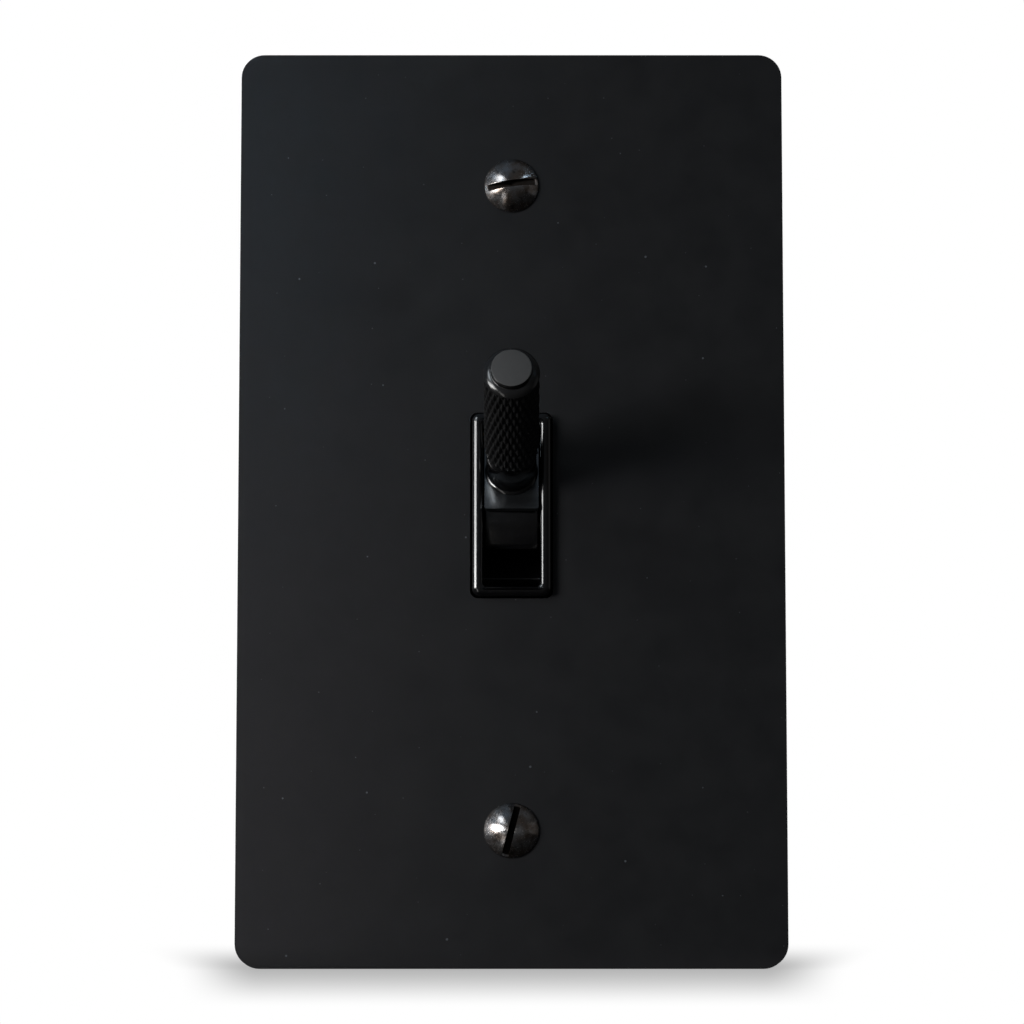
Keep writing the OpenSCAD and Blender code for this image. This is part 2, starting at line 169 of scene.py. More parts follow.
def flare(radius, low, curve_r, inner, outer, steps):
    """A curve that rises inward from radius at height low, between two slopes in degrees."""
    rise = curve_r * (math.cos(math.radians(inner)) - math.cos(math.radians(outer)))
    centre = (radius - curve_r * math.sin(math.radians(outer)),
              low + rise - curve_r * math.cos(math.radians(inner)))
    return arc(centre, curve_r, 90 - outer, 90 - inner, steps)


def rounded_outline(half_w, half_h, radius, y, steps=8):
    """A rectangle with round corners in the X-Z plane, as a loop of points at depth y."""
    points = []
    for quarter, (sx, sz) in enumerate(((1, 1), (-1, 1), (-1, -1), (1, -1))):
        centre = (sx * (half_w - radius), sz * (half_h - radius))
        for x, z in arc(centre, radius, 90 * quarter, 90 * quarter + 90, steps):
            points.append((x, y, z))
    return points


def apply_modifiers(obj):
    """Turns an object's modifiers into plain mesh."""
    evaluated = obj.evaluated_get(bpy.context.evaluated_depsgraph_get())
    mesh = bpy.data.meshes.new_from_object(evaluated)
    obj.modifiers.clear()
    obj.data = mesh


def round_edges(obj, width, angle):
    """Adds a bevel on the edges that turn by more than angle degrees."""
    bevel = obj.modifiers.new("round", "BEVEL")
    bevel.width = width
    bevel.segments = 3
    bevel.limit_method = "ANGLE"
    bevel.angle_limit = math.radians(angle)
    return bevel


def soften_edges(obj, width):
    """Welds a mesh's split corners and rounds its sharp edges."""
    weld = obj.modifiers.new("weld", "WELD")
    weld.merge_threshold = 0.002 * MM
    bevel = round_edges(obj, width, 35)
    bevel.harden_normals = True
    bevel.use_clamp_overlap = True


# ---------- Material helpers ----------

class Nodes:
    """Short calls that add nodes to a node tree and link them."""

    def __init__(self, tree):
        self.tree = tree

    def node(self, kind, **settings):
        made = self.tree.nodes.new("ShaderNode" + kind)
        for key, value in settings.items():
            setattr(made, key, value)
        return made

    def link(self, source, target):
        self.tree.links.new(source, target)

    def feed(self, value, target):
        """Gives a socket a number, a colour or another socket."""
        if isinstance(value, bpy.types.NodeSocket):
            self.link(value, target)
        elif isinstance(value, tuple):
            target.default_value = (*value, 1.0)
        else:
            target.default_value = value

    def place(self):
        """A point's place in its object."""
        return self.node("TexCoord").outputs["Object"]

    def axes(self, vector):
        """The X, Y and Z outputs of a vector."""
        split = self.node("SeparateXYZ")
        self.link(vector, split.inputs["Vector"])
        return split.outputs

    def along(self, vector, direction):
        """How far a vector reaches in a direction."""
        made = self.node("VectorMath", operation="DOT_PRODUCT")
        self.link(vector, made.inputs[0])
        made.inputs[1].default_value = direction
        return made.outputs["Value"]

    def distance(self, vector, point):
        """Distance from a vector to a fixed point."""
        made = self.node("VectorMath", operation="DISTANCE")
        self.link(vector, made.inputs[0])
        made.inputs[1].default_value = point
        return made.outputs["Value"]

    def between(self, factor, low, high, out_low=0.0, out_high=1.0, **settings):
        """Maps factor's range low..high onto out_low..out_high, clamped."""
        made = self.node("MapRange", **settings)
        self.link(factor, made.inputs["Value"])
        sockets = ("From Min", "From Max", "To Min", "To Max")
        for socket, value in zip(sockets, (low, high, out_low, out_high)):
            made.inputs[socket].default_value = value
        return made.outputs["Result"]

    def ramp(self, factor, low, high):
        """Rises softly from 0 at low to 1 at high. Low may be above high."""
        return self.between(factor, low, high, interpolation_type="SMOOTHSTEP")

    def math(self, operation, first, second=0.0):
        made = self.node("Math", operation=operation)
        self.feed(first, made.inputs[0])
        self.feed(second, made.inputs[1])
        return made.outputs["Value"]

    def mix(self, factor, first, second):
        """Mixes two colours by factor."""
        made = self.node("Mix", data_type="RGBA")
        self.link(factor, made.inputs["Factor"])
        self.feed(first, made.inputs["A"])
        self.feed(second, made.inputs["B"])
        return made.outputs["Result"]

    def shader(self, kind, colour):
        """A shader of one plain colour."""
        made = self.node(kind)
        self.feed(colour, made.inputs["Color"])
        return made.outputs[0]

    def mix_shaders(self, factor, first, second):
        made = self.node("MixShader")
        self.link(factor, made.inputs["Fac"])
        self.link(first, made.inputs[1])
        self.link(second, made.inputs[2])
        return made.outputs["Shader"]


class Surface(Nodes):
    """One procedural material: a Principled shader and the nodes that feed it."""

    def __init__(self, name, **sockets):
        self.material = bpy.data.materials.new(name)
        self.material.use_nodes = True
        super().__init__(self.material.node_tree)
        self.shader_node = self.tree.nodes["Principled BSDF"]
        for socket, value in sockets.items():
            self.shader_node.inputs[socket.replace("_", " ")].default_value = value
        self.here = self.place()

    def stretched(self, scale):
        """The object's coordinates, scaled differently along each axis."""
        mapping = self.node("Mapping")
        self.link(self.here, mapping.inputs["Vector"])
        mapping.inputs["Scale"].default_value = scale
        return mapping.outputs["Vector"]

    def noise(self, size, detail=3.0, vector=None):
        """Noise from 0 to 1 with features about size metres across."""
        made = self.node("TexNoise")
        self.link(vector or self.here, made.inputs["Vector"])
        made.inputs["Scale"].default_value = 1 / size
        made.inputs["Detail"].default_value = detail
        made.inputs["Roughness"].default_value = 0.55
        return made.outputs["Fac"]

    def cells(self, size, vector=None, **settings):
        """Random cells size metres across: two random numbers per cell, and the distance to its middle."""
        made = self.node("TexVoronoi", **settings)
        self.link(vector or self.here, made.inputs["Vector"])
        made.inputs["Scale"].default_value = 1 / size
        split = self.node("SeparateColor")
        self.link(made.outputs["Color"], split.inputs["Color"])
        return split.outputs["Red"], split.outputs["Green"], made.outputs["Distance"]

    def specks(self, cell, radius, share, shift):
        """1 inside scattered round specks on the X-Z plane, 0 outside. share is how many cells hold one."""
        flat = self.node("CombineXYZ")
        here = self.axes(self.here)
        self.link(self.math("ADD", here["X"], shift), flat.inputs["X"])
        self.link(here["Z"], flat.inputs["Y"])
        chance, growth, distance = self.cells(cell, flat.outputs["Vector"], voronoi_dimensions="2D")
        held = self.math("LESS_THAN", chance, share)
        size = self.math("MULTIPLY", self.between(growth, 0, 1, 0.4, 1.0), radius / cell)
        near = self.math("LESS_THAN", distance, size)
        return self.math("MULTIPLY", near, held)

    def colour(self, source):
        self.link(source, self.shader_node.inputs["Base Color"])

    def mottled(self, size, first, second, detail=3.0):
        """Sets the colour to two colours mixed by noise."""
        self.colour(self.mix(self.between(self.noise(size, detail), 0.35, 0.65), first, second))

    def roughness(self, source):
        self.link(source, self.shader_node.inputs["Roughness"])

    def uneven_roughness(self, size, low, high, detail=3.0):
        """Sets a roughness that wanders from low to high."""
        self.roughness(self.between(self.noise(size, detail), 0.3, 0.7, low, high))

    def bump(self, height, distance, strength, under=None):
        """Adds a bump of the given height in metres over an earlier one."""
        made = self.node("Bump")
        made.inputs["Distance"].default_value = distance
        made.inputs["Strength"].default_value = strength
        self.link(height, made.inputs["Height"])
        if under is not None:
            self.link(under, made.inputs["Normal"])
        self.link(made.outputs["Normal"], self.shader_node.inputs["Normal"])
        return made.outputs["Normal"]


# ---------- Materials ----------

def plate_black():
    """Powder-fine matte black with soft mottling and a few dust specks."""
    surface = Surface("plate_black", Specular_IOR_Level=0.29)
    mottle = surface.between(surface.noise(3.2 * MM, 4.0), 0.3, 0.7)
    base = surface.mix(mottle, (0.0050, 0.0056, 0.0078), (0.0071, 0.0077, 0.0104))
    big = surface.specks(11 * MM, 0.15 * MM, 0.4, 3.1)
    small = surface.specks(6 * MM, 0.08 * MM, 0.5, 7.7)
    base = surface.mix(surface.math("MULTIPLY", big, 0.75), base, (0.17, 0.19, 0.22))
    base = surface.mix(surface.math("MULTIPLY", small, 0.6), base, (0.13, 0.14, 0.16))
    surface.colour(base)
    surface.uneven_roughness(5 * MM, 0.46, 0.54)
    grain = surface.bump(surface.noise(0.16 * MM, 2.0), 0.004 * MM, 0.6)
    surface.bump(surface.noise(1.4 * MM), 0.006 * MM, 0.5, grain)
    return surface.material


def gloss_black():
    """Glossy moulded black with faint handling marks."""
    surface = Surface("gloss_black", IOR=1.58)
    surface.mottled(4 * MM, (0.004, 0.004, 0.005), (0.007, 0.007, 0.008))
    surface.roughness(surface.between(surface.noise(1.2 * MM, 4.0), 0.35, 0.7, 0.12, 0.22))
    surface.bump(surface.noise(2.6 * MM, 1.0), 0.002 * MM, 0.4)
    return surface.material


def saddle_satin():
    """Satin blue-grey metal with a fine brushed grain across it."""
    surface = Surface("saddle_satin", Metallic=0.9)
    streaks = surface.noise(0.5 * MM, vector=surface.stretched((0.06, 1.0, 1.0)))
    surface.colour(surface.mix(streaks, (0.135, 0.147, 0.158), (0.175, 0.187, 0.198)))
    surface.roughness(surface.between(streaks, 0.3, 0.7, 0.15, 0.22))
    surface.bump(streaks, 0.003 * MM, 0.5)
    return surface.material


def lever_black():
    """Satin black coat over turned metal."""
    surface = Surface("lever_black", Metallic=0.25)
    surface.mottled(1.5 * MM, (0.020, 0.020, 0.021), (0.030, 0.030, 0.031))
    surface.uneven_roughness(0.8 * MM, 0.33, 0.45, 4.0)
    surface.bump(surface.noise(0.12 * MM, 2.0), 0.002 * MM, 0.5)
    return surface.material


def tip_grey():
    """Bead-blasted charcoal on the button's face, darker and shinier round it."""
    surface = Surface("tip_grey")
    out = ON_LEVER.col[2].to_3d()
    face = out.dot(LEVER_PIVOT) + button_end() - 0.1 * MM
    on_button = surface.between(surface.along(surface.here, out), face, face + 0.03 * MM)
    blasted = surface.mix(surface.noise(0.9 * MM), (0.088, 0.090, 0.092), (0.112, 0.114, 0.116))
    turned = surface.mix(surface.noise(0.9 * MM), (0.014, 0.014, 0.015), (0.022, 0.022, 0.023))
    surface.colour(surface.mix(on_button, turned, blasted))
    surface.roughness(surface.between(on_button, 0, 1, 0.19, 0.55))
    surface.bump(surface.noise(0.08 * MM, 2.0), 0.002 * MM, 0.6)
    return surface.material


def antique_steel():
    """Turned gunmetal with brown patches, and painted shade darkening the deep parts of the slots."""
    surface = Surface("antique_steel", Metallic=1.0, Anisotropic=0.8, Anisotropic_Rotation=0.25)
    patches = surface.between(surface.noise(1.6 * MM, 4.0), 0.38, 0.62)
    tone = surface.mix(patches, (0.36, 0.36, 0.37), (0.22, 0.18, 0.155))
    dark = surface.between(surface.noise(0.5 * MM, 4.0), 0.55, 0.75)
    worn = surface.mix(dark, tone, (0.07, 0.062, 0.056))
    # Painted shade darkens what lies deeper than 0.1 to 0.2 mm under the head's dome. The shank has none
    dome_r, middle = screw_dome("upper_plate_screw")
    reach = surface.distance(surface.here, (0, middle, 0))
    under = surface.between(reach, dome_r - 0.08 * MM, dome_r - 0.24 * MM)
    on_head = surface.math("LESS_THAN", surface.axes(surface.here)["Y"], -2 * MM)
    slot_shade_mask = surface.math("MULTIPLY", under, on_head)
    # Painted shade: the slots' depths are turned near black
    surface.colour(surface.mix(slot_shade_mask, worn, (0.012, 0.010, 0.009)))
    worn_rough = surface.between(surface.noise(0.35 * MM, 4.0), 0.3, 0.7, 0.17, 0.3)
    surface.roughness(surface.math("ADD", worn_rough, surface.math("MULTIPLY", slot_shade_mask, 0.3)))
    surface.bump(surface.noise(0.2 * MM), 0.004 * MM, 0.3)
    tangent = surface.node("Tangent", direction_type="RADIAL", axis="Y")
    surface.link(tangent.outputs["Tangent"], surface.shader_node.inputs["Tangent"])
    return surface.material


def plated_steel(name, low, high, roughness):
    """Sheet or wire steel under a thin bright plating."""
    surface = Surface(name, Metallic=1.0)
    surface.mottled(2.5 * MM, low, high, 4.0)
    surface.uneven_roughness(0.9 * MM, roughness - 0.07, roughness + 0.08, 4.0)
    surface.bump(surface.noise(0.3 * MM), 0.004 * MM, 0.4)
    return surface.material


def strap_steel():
    """Galvanised sheet with a soft spangle and rolling lines."""
    surface = Surface("strap_steel", Metallic=1.0)
    tone, shine, _ = surface.cells(3.5 * MM)
    surface.colour(surface.mix(tone, (0.36, 0.37, 0.39), (0.45, 0.46, 0.48)))
    surface.roughness(surface.between(shine, 0, 1, 0.36, 0.46))
    lines = surface.noise(0.4 * MM, vector=surface.stretched((1.0, 1.0, 0.04)))
    surface.bump(lines, 0.003 * MM, 0.5)
    return surface.material


def green_steel():
    """Green-dyed zinc, worn to metal in places."""
    surface = Surface("green_steel", Metallic=0.8)
    worn = surface.between(surface.noise(0.8 * MM, 4.0), 0.58, 0.72)
    surface.colour(surface.mix(worn, (0.02, 0.17, 0.06), (0.30, 0.36, 0.28)))
    surface.roughness(surface.between(worn, 0, 1, 0.3, 0.42))
    surface.bump(surface.noise(0.3 * MM), 0.004 * MM, 0.4)
    return surface.material


def moulded(name, low, high, roughness, texture_depth):
    """Thermoset moulding with a fine spark texture."""
    surface = Surface(name)
    surface.mottled(5 * MM, low, high, 4.0)
    surface.uneven_roughness(2 * MM, roughness - 0.05, roughness + 0.06)
    surface.bump(surface.noise(0.22 * MM), texture_depth, 0.7)
    return surface.material


def brass(name, low, high):
    """Rolled or turned brass with light tarnish."""
    surface = Surface(name, Metallic=1.0)
    tarnish = surface.between(surface.noise(2.2 * MM, 5.0), 0.4, 0.68)
    surface.colour(surface.mix(tarnish, high, low))
    surface.roughness(surface.between(tarnish, 0, 1, 0.22, 0.4))
    surface.bump(surface.noise(0.25 * MM), 0.003 * MM, 0.4)
    return surface.material


MATERIALS = {
    "plate_black": plate_black(),
    "gloss_black": gloss_black(),
    "saddle_satin": saddle_satin(),
    "lever_black": lever_black(),
    "tip_grey": tip_grey(),
    "antique_steel": antique_steel(),
    "zinc_steel": plated_steel("zinc_steel", (0.50, 0.51, 0.54), (0.66, 0.66, 0.67), 0.3),
    "strap_steel": strap_steel(),
    "green_steel": green_steel(),
    "cover_black": moulded("cover_black", (0.010, 0.010, 0.012), (0.016, 0.016, 0.018), 0.42, 0.01 * MM),
    "housing_grey": moulded("housing_grey", (0.016, 0.017, 0.019), (0.026, 0.027, 0.030), 0.5,
                            0.014 * MM),
    "nylon_ivory": moulded("nylon_ivory", (0.70, 0.66, 0.55), (0.78, 0.75, 0.66), 0.4, 0.006 * MM),
    "fibre_brown": moulded("fibre_brown", (0.10, 0.045, 0.025), (0.19, 0.095, 0.05), 0.65, 0.02 * MM),
    "contact_brass": brass("contact_brass", (0.48, 0.33, 0.14), (0.78, 0.60, 0.29)),
    "brass_screw": brass("brass_screw", (0.55, 0.38, 0.15), (0.83, 0.66, 0.34)),
    "contact_silver": plated_steel("contact_silver", (0.66, 0.66, 0.64), (0.86, 0.86, 0.84), 0.25),
}
SLOT_OF = {part["node"]: part["material_slot"] for part in frame["record"]["subparts"]}


def dress(obj, slot_name):
    """Gives an object its one material."""
    obj.data.materials.clear()
    obj.data.materials.append(MATERIALS[slot_name])


def install(piece, body, *nodes):
    """A made piece rides on a body, stands for its CAD nodes, and takes their material."""
    slot_name = SLOT_OF[nodes[0]]
    dress(piece, slot_name)
    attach(piece, body)
    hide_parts(*nodes)


# ---------- Pieces on the plate ----------

def threaded_rod(name, start, end, matrix):
    """A rod with a V thread along local Z, fading in at both ends."""
    segments = 32
    rows = int(8 * (end - start) / THREAD_PITCH)
    verts = []
    for i in range(rows + 1):
        z = start + (end - start) * i / rows
        fade = min(1.0, (z - start) / THREAD_PITCH, (end - z) / THREAD_PITCH)
        for k in range(segments):
            phase = (z / THREAD_PITCH - k / segments) % 1.0
            r = THREAD_R - THREAD_DEPTH + THREAD_DEPTH * (1 - abs(2 * phase - 1)) * fade
            verts.append((r * math.cos(TAU * k / segments), r * math.sin(TAU * k / segments), z))
    return add_mesh(name, verts, grid_faces(rows + 1, segments) + end_faces(verts, segments), matrix)


def join(objects, name):
    """Joins several meshes into the first."""
    bpy.ops.object.select_all(action="DESELECT")
    for obj in objects:
        obj.select_set(True)
    bpy.context.view_layer.objects.active = objects[0]
    bpy.ops.object.join()
    objects[0].name = name
    return objects[0]


def cut_slot(head, head_top, reach, place):
    """Cuts the driver's slot across a screw head and rounds the sharp edges."""
    corners = [(x, y, z) for z in (head_top - SCREW_SLOT_DEPTH, head_top + reach)
               for y in (-SCREW_SLOT_W / 2, SCREW_SLOT_W / 2) for x in (-reach, reach)]
    box_faces = [(0, 2, 3, 1), (4, 5, 7, 6), (0, 1, 5, 4), (2, 6, 7, 3), (0, 4, 6, 2), (1, 3, 7, 5)]
    cutter = add_mesh("slot_cutter", corners, box_faces, place)
    cut = head.modifiers.new("slot", "BOOLEAN")
    cut.operation = "DIFFERENCE"
    cut.object = cutter
    cut.solver = "EXACT"
    round_edges(head, 0.12 * MM, 40)
    apply_modifiers(head)
    bpy.data.objects.remove(cutter)


def plate_screw(node, slot_turn):
    """A slotted screw: a domed head with a crisp slot, and a threaded shank."""
    low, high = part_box(node)
    centre = Vector(((low[0] + high[0]) / 2, 0, (low[2] + high[2]) / 2))
    head_r = (high[0] - low[0]) / 2
    head_top = -low[1]
    seat = -PLATE_LOW[1]
    # Local +Z points out of the plate
    place = Matrix.Translation(centre) @ Matrix.Rotation(math.radians(90), 4, "X")
    dome_r = screw_dome(node)[0]
    edge = math.degrees(math.asin((head_r - 0.05 * MM) / dome_r))
    dome = [(dome_r * math.sin(math.radians(a)), head_top - dome_r + dome_r * math.cos(math.radians(a)))
            for a in [edge * (1 - k / 24) for k in range(24)]]
    rim = [(head_r - 0.14 * MM, seat), (head_r - 0.03 * MM, seat + 0.06 * MM),
           (head_r, seat + 0.13 * MM), (head_r, seat + SCREW_RIM_H - 0.03 * MM)]
    head = lathe(node + "_head", rim + dome + [(0.02 * MM, head_top)], 128, place)
    cut_slot(head, head_top, head_r * 1.3, place @ Matrix.Rotation(math.radians(slot_turn), 4, "Z"))
    neck_profile = [(SCREW_NECK_R, 0.5 * MM - seat), (SCREW_NECK_R, seat + 0.1 * MM)]
    neck = lathe(node + "_neck", neck_profile, 32, place)
    shank = threaded_rod(node + "_shank", -high[1], -0.9 * MM, place)
    screw = join([head, neck, shank], "slotted_" + node)
    # The turning marks circle the screw's own middle
    screw.data.transform(Matrix.Translation(-centre))
    screw.location = centre
    install(screw, "switch_frame", node)


def toggle_bezel():
    """The glossy collar: rounded rim, straight window and the flange behind the strap."""
    low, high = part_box("toggle_bezel")
    back, front = high[1], low[1]
    flange_w, flange_h, flange_r = high[0], high[2], 1.0 * MM
    flange_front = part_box("front_cover")[0][1]
    collar_w, collar_h, collar_r = 5.0 * MM, 11.7 * MM, 0.9 * MM
    window_w, window_h, window_r = 3.7 * MM, 10.65 * MM, 0.6 * MM
    loops = [(window_w, window_h, window_r, back), (flange_w, flange_h, flange_r, back),
             (flange_w, flange_h, flange_r, flange_front), (collar_w, collar_h, collar_r, flange_front)]

    def bead(radius, slope, steps):
        """(inset, depth) from the foot of a rounded edge up to its crest."""
        angles = [math.radians(slope * (1 - k / steps)) for k in range(steps + 1)]
        reach = radius * math.sin(math.radians(slope))
        return [(reach - radius * math.sin(a), front + radius * (1 - math.cos(a))) for a in angles]

    # The rim is a low bead: a wide curve outside, a tighter one inside
    for inset, y in bead(1.05 * MM, 50, 8):
        loops.append((collar_w - inset, collar_h - inset, collar_r - 0.6 * inset, y))
    for inset, y in reversed(bead(0.55 * MM, 60, 6)):
        loops.append((window_w + inset, window_h + inset, window_r + 0.3 * inset, y))
    verts = [point for w, h, r, y in loops for point in rounded_outline(w, h, r, y)]
    faces = grid_faces(len(loops), len(verts) // len(loops), wrap_rows=True)
    install(add_mesh("window_bezel", verts, faces), "switch_frame", "toggle_bezel")


# ---------- Lever ----------

def knurled_sleeve():
    """The grip: staggered beads between two families of helical grooves."""
    around, half_rows = 26, 12
    columns, rows = around * 10, half_rows * 12
    start = span_on_lever("lever_collar")[1]
    _, end, radius = span_on_lever("knurled_sleeve")
    depth, chamfer = 0.36 * MM, 0.3 * MM
    verts = []
    for i in range(rows + 1):
        s = start + (end - start) * i / rows
        cell = half_rows / 2 * i / rows
        ends = max(0.0, 1 - (s - start) / chamfer, 1 - (end - s) / (0.5 * chamfer))
        for k in range(columns):
            turn = around * k / columns
            # Each wave is 1 on a crest line and 0 in a groove
            first = abs(2 * ((turn + cell) % 1.0) - 1)
            second = abs(2 * ((turn - cell) % 1.0) - 1)
            bead = math.sin(first * math.pi / 2) * math.sin(second * math.pi / 2)
            r = radius - depth * (1 - bead) * (1 - ends) - 0.9 * depth * ends
            verts.append((r * math.cos(TAU * k / columns), r * math.sin(TAU * k / columns), s))
    verts += circle(STEM_BORE, end, columns) + circle(STEM_BORE, start, columns)
    # The last two rows are the bore, so wrapping the rows closes the ring
    piece = add_mesh("diamond_knurl_grip", verts, grid_faces(rows + 3, columns, wrap_rows=True), ON_LEVER)
    install(piece, "lever", "knurled_sleeve")


def lever_collar():
    """Smooth collar with lightly broken edges."""
    start, end, radius = span_on_lever("lever_collar")
    edge = 0.12 * MM
    profile = ([(STEM_BORE, start), (radius - 0.02 * MM, start), (radius, start + 0.02 * MM)]
               + arc((radius - edge, end - edge), edge, 0, 90, 6) + [(STEM_BORE, end)])
    install(lathe("smooth_collar", profile, 96, ON_LEVER, closed=True), "lever", "lever_collar")


def lever_foot():
    """Foot ring: a low flare that catches the light, and a neck up to the collar."""
    end = span_on_lever("lever_collar")[0]
    start = end - FOOT_H
    radius = span_on_lever("lever_foot")[2]
    curve = flare(radius, start + 0.12 * MM, 1.1 * MM, 18, 48, 8)
    profile = ([(STEM_BORE, start), (radius - 0.04 * MM, start), (radius, start + 0.04 * MM)] + curve
               + [(curve[-1][0], end), (STEM_BORE, end)])
    install(lathe("flared_foot", profile, 96, ON_LEVER, closed=True), "lever", "lever_foot")


def lever_tip():
    """A flared shoulder, and a flat button with a broken edge."""
    start = span_on_lever("knurled_sleeve")[1]
    end = button_end()
    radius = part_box("lever_tip")[1][0]
    curve = flare(radius, start + 0.05 * MM, 1.4 * MM, 12, 55, 12)
    land = curve[-1][1]
    edge = 0.08 * MM
    profile = ([(STEM_BORE, start), (radius - 0.04 * MM, start), (radius, start + 0.03 * MM)] + curve
               + [(BUTTON_R - 0.04 * MM, land), (BUTTON_R, land + 0.04 * MM)]
               + arc((BUTTON_R - edge, end - edge), edge, 0, 90, 6)
               + [(0.02 * MM, end)])
    install(lathe("tip_button", profile, 128, ON_LEVER), "lever", "lever_tip")


def plunger_coil():
    """The coil spring in the rocker's tail."""
    low, high = 4.2 * MM, 7.4 * MM
    wire, coil_r, turns = 0.3 * MM, 1.42 * MM, 5
    steps, sides = turns * 28, 10
    verts = []
    for i in range(steps + 1):
        turn = turns * i / steps
        out = Vector((math.cos(TAU * turn), math.sin(TAU * turn), 0))
        centre = out * coil_r + Vector((0, 0, low + wire + (high - low - 2 * wire) * i / steps))
        for k in range(sides):
            a = TAU * k / sides
            verts.append(centre + out * wire * math.cos(a) + Vector((0, 0, wire * math.sin(a))))
    faces = grid_faces(steps + 1, sides) + end_faces(verts, sides)
    install(add_mesh("plunger_coil", verts, faces, ON_TAIL), "lever", "plunger_spring")


# ---------- Build ----------

# Width of the rounding on each CAD piece's sharp edges, in millimetres
EDGE_WIDTHS = {
    "wall_plate": 0.28, "mounting_strap": 0.15, "rocker": 0.55, "lever_saddle": 0.1,
    "front_cover": 0.3, "rear_housing": 0.35, "stud_nuts": 0.15, "stud_washers": 0.1,
    "ground_screw": 0.15, "housing_screws": 0.12, "strap_rivets": 0.1, "contact_arm": 0.1,
    "line_terminal": 0.12, "load_terminal": 0.12, "terminal_screws": 0.15, "wire_clamps": 0.12,
    "pivot_pin": 0.2, "plate_studs": 0.2, "contact_plunger": 0.12, "stop_pad": 0.1,
    "contact_pivot_pin": 0.1, "fixed_contact": 0.06, "moving_contact": 0.08, "lever_stem": 0.1,
}
for node_name, node_object in frame["nodes"].items():
    dress(node_object, SLOT_OF[node_name])
    if node_name in EDGE_WIDTHS:
        soften_edges(node_object, EDGE_WIDTHS[node_name] * MM)

plate_screw("upper_plate_screw", 8)
plate_screw("lower_plate_screw", 76)
toggle_bezel()
knurled_sleeve()
lever_collar()
lever_foot()
lever_tip()
plunger_coil()


# ---------- Stage ----------

def camera():
    """A long lens a little below the plate, looking up at it."""
    distance, elevation = 596.6 * MM, math.radians(-8.02)
    target = Vector((0.06 * MM, PLATE_LOW[1], -0.88 * MM))
    data = bpy.data.cameras.new("camera")
    data.sensor_width = 36
    data.lens = 163.877
    data.clip_end = 10
    obj = bpy.data.objects.new("camera", data)
    obj.location = target + distance * Vector((0, -math.cos(elevation), math.sin(elevation)))
    obj.rotation_euler = (target - obj.location).to_track_quat("-Z", "Y").to_euler()
    bpy.context.scene.collection.objects.link(obj)
    bpy.context.scene.camera = obj


def area_light(name, place, aim, size, energy, colour=(1, 1, 1), spread=180, only_shine=False):
    """A soft light at place, turned to aim. size is its width and height, spread its beam in degrees.

    An only_shine light shows in reflections but doesn't light matte surfaces."""
    data = bpy.data.lights.new(name, "AREA")
    data.shape = "RECTANGLE"
    data.size, data.size_y = size
    data.energy = energy
    data.color = colour
    data.spread = math.radians(spread)
    obj = bpy.data.objects.new(name, data)
    obj.location = place
    obj.rotation_euler = (Vector(aim) - Vector(place)).to_track_quat("-Z", "Y").to_euler()
    obj.visible_diffuse = not only_shine
    bpy.context.scene.collection.objects.link(obj)


def lights():
    """The key and its reflections on the left, two narrow washes, and two lights behind the wall."""
    middle = (0, 0, 0)
    area_light("key", (-0.385, -0.346, -0.004), middle, (0.2, 0.09), 0.85, (1.0, 0.98, 0.95))
    # Reflections only: beside the key, above it, high on the right, and below
    area_light("side_gloss", (-0.385, -0.346, 0.072), middle, (0.28, 0.12), 1.3, only_shine=True)
    area_light("high_gloss", (-0.31, -0.36, 0.29), middle, (0.16, 0.16), 0.55, (0.92, 1.0, 1.06),
               only_shine=True)
    area_light("sky_gloss", (0.36, -0.3, 0.36), (0, 0, 0.055), (0.06, 0.06), 0.0004, (0.6, 0.85, 1.1),
               spread=8, only_shine=True)
    area_light("low_gloss", (-0.17, -0.315, -0.175), middle, (0.03, 0.22), 0.07, (1.0, 0.98, 0.95),
               only_shine=True)
    # Washes that brighten the plate's left edge: warm below, blue above
    area_light("lower_strip", (-0.26, -0.30, -0.065), (-0.055, 0, -0.065), (0.02, 0.16), 0.0105,
               (1.0, 0.97, 0.96), spread=16)
    area_light("upper_strip", (-0.26, -0.30, 0.075), (-0.055, 0, 0.075), (0.02, 0.12), 0.0085,
               (0.5, 0.9, 1.15), spread=16)
    # A faint reflection from the right
    area_light("right_gloss", (0.55, -0.15, 0.05), middle, (0.3, 0.3), 0.03, only_shine=True)
    # Behind the plate, for the housing
    behind = (0, 0.015, 0)
    area_light("rear_left", (-0.52, 0.62, 0.3), behind, (0.2, 0.2), 5.0)
    area_light("rear_right", (0.52, 0.62, 0.1), behind, (0.2, 0.2), 4.5)


def world():
    """White behind the object. What lights the object is dim, and dimmest from the lower right."""
    made = bpy.data.worlds.new("studio")
    made.use_nodes = True
    nodes = Nodes(made.node_tree)
    brightest = Vector((-0.6, -0.3, 0.74)).normalized()
    facing = nodes.along(nodes.node("TexCoord").outputs["Generated"], brightest)
    seen = nodes.node("LightPath").outputs["Is Camera Ray"]
    dim = nodes.between(facing, -0.5, 1.0, 0.008, 0.14)
    sky = nodes.mix(facing, (1.0, 0.98, 0.96), (0.72, 0.9, 1.1))
    background = made.node_tree.nodes["Background"]
    nodes.link(nodes.math("MAXIMUM", dim, seen), background.inputs["Strength"])
    nodes.link(nodes.mix(seen, sky, (1.0, 1.0, 1.0)), background.inputs["Color"])
    bpy.context.scene.world = made


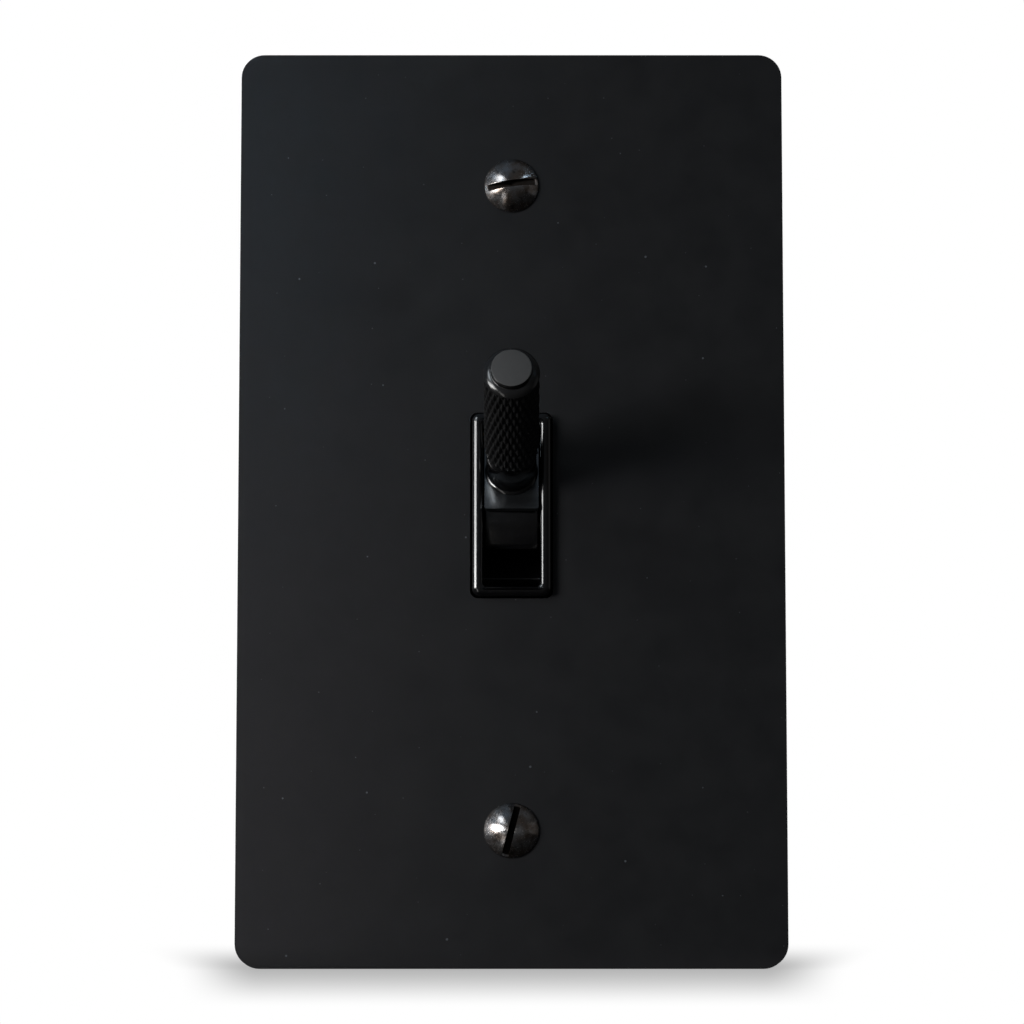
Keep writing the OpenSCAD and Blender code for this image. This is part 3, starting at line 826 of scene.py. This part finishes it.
def floor_material(half_w, front):
    """Pale from above, fading into white. From below, clear but for a painted soft shadow under the plate.
    """
    material = bpy.data.materials.new("studio_floor")
    material.use_nodes = True
    nodes = Nodes(material.node_tree)
    nodes.tree.nodes.clear()
    place = nodes.place()
    here = nodes.axes(place)

    # Farther back the painted shadow spreads, so that it stays as wide as the plate in the picture
    spread = nodes.between(here["Y"], 0.0, 150 * MM, 1.0, 0.8)
    across = nodes.math("MULTIPLY", nodes.math("ABSOLUTE", here["X"]), spread)
    # The painted shadow is deepest under the plate and fades to the back, the sides and the front
    behind = nodes.ramp(here["Y"], 140 * MM, -30 * MM)
    sideways = nodes.ramp(across, half_w + 8 * MM, half_w - 3 * MM)
    ahead = nodes.ramp(here["Y"], front - 72 * MM, front)
    shade = nodes.math("MULTIPLY", nodes.math("MULTIPLY", behind, sideways), ahead)
    deepest = nodes.math("MULTIPLY", shade, 0.58)
    clear = nodes.node("BsdfTransparent").outputs["BSDF"]
    # Painted shadow: a dark emission mixed in where the shade mask is
    below = nodes.mix_shaders(deepest, clear, nodes.shader("Emission", (0.012, 0.012, 0.013)))

    near = nodes.node("AddShader")
    nodes.link(nodes.shader("BsdfDiffuse", (0.45, 0.45, 0.45)), near.inputs[0])
    nodes.link(nodes.shader("Emission", (0.5, 0.5, 0.5)), near.inputs[1])
    far = nodes.ramp(nodes.distance(place, (0, 0, 0)), 0.2, 0.58)
    above = nodes.mix_shaders(far, near.outputs["Shader"], nodes.shader("Emission", (1.0, 1.0, 1.0)))

    underside = nodes.node("NewGeometry").outputs["Backfacing"]
    output = nodes.node("OutputMaterial")
    nodes.link(nodes.mix_shaders(underside, above, below), output.inputs["Surface"])
    return material


def floor():
    """The floor just under the plate. It only shows in the picture: it lights and blocks nothing."""
    size, level = 0.6, PLATE_LOW[2] - 0.2 * MM
    corners = [(-size, -size, level), (size, -size, level), (size, size, level), (-size, size, level)]
    piece = add_mesh("studio_floor", corners, [(0, 1, 2, 3)])
    piece.data.materials.append(floor_material(PLATE_HIGH[0], PLATE_LOW[1]))
    piece.visible_diffuse = piece.visible_glossy = piece.visible_shadow = False


camera()
world()
floor()
lights()
bpy.context.scene.view_settings.view_transform = "Standard"
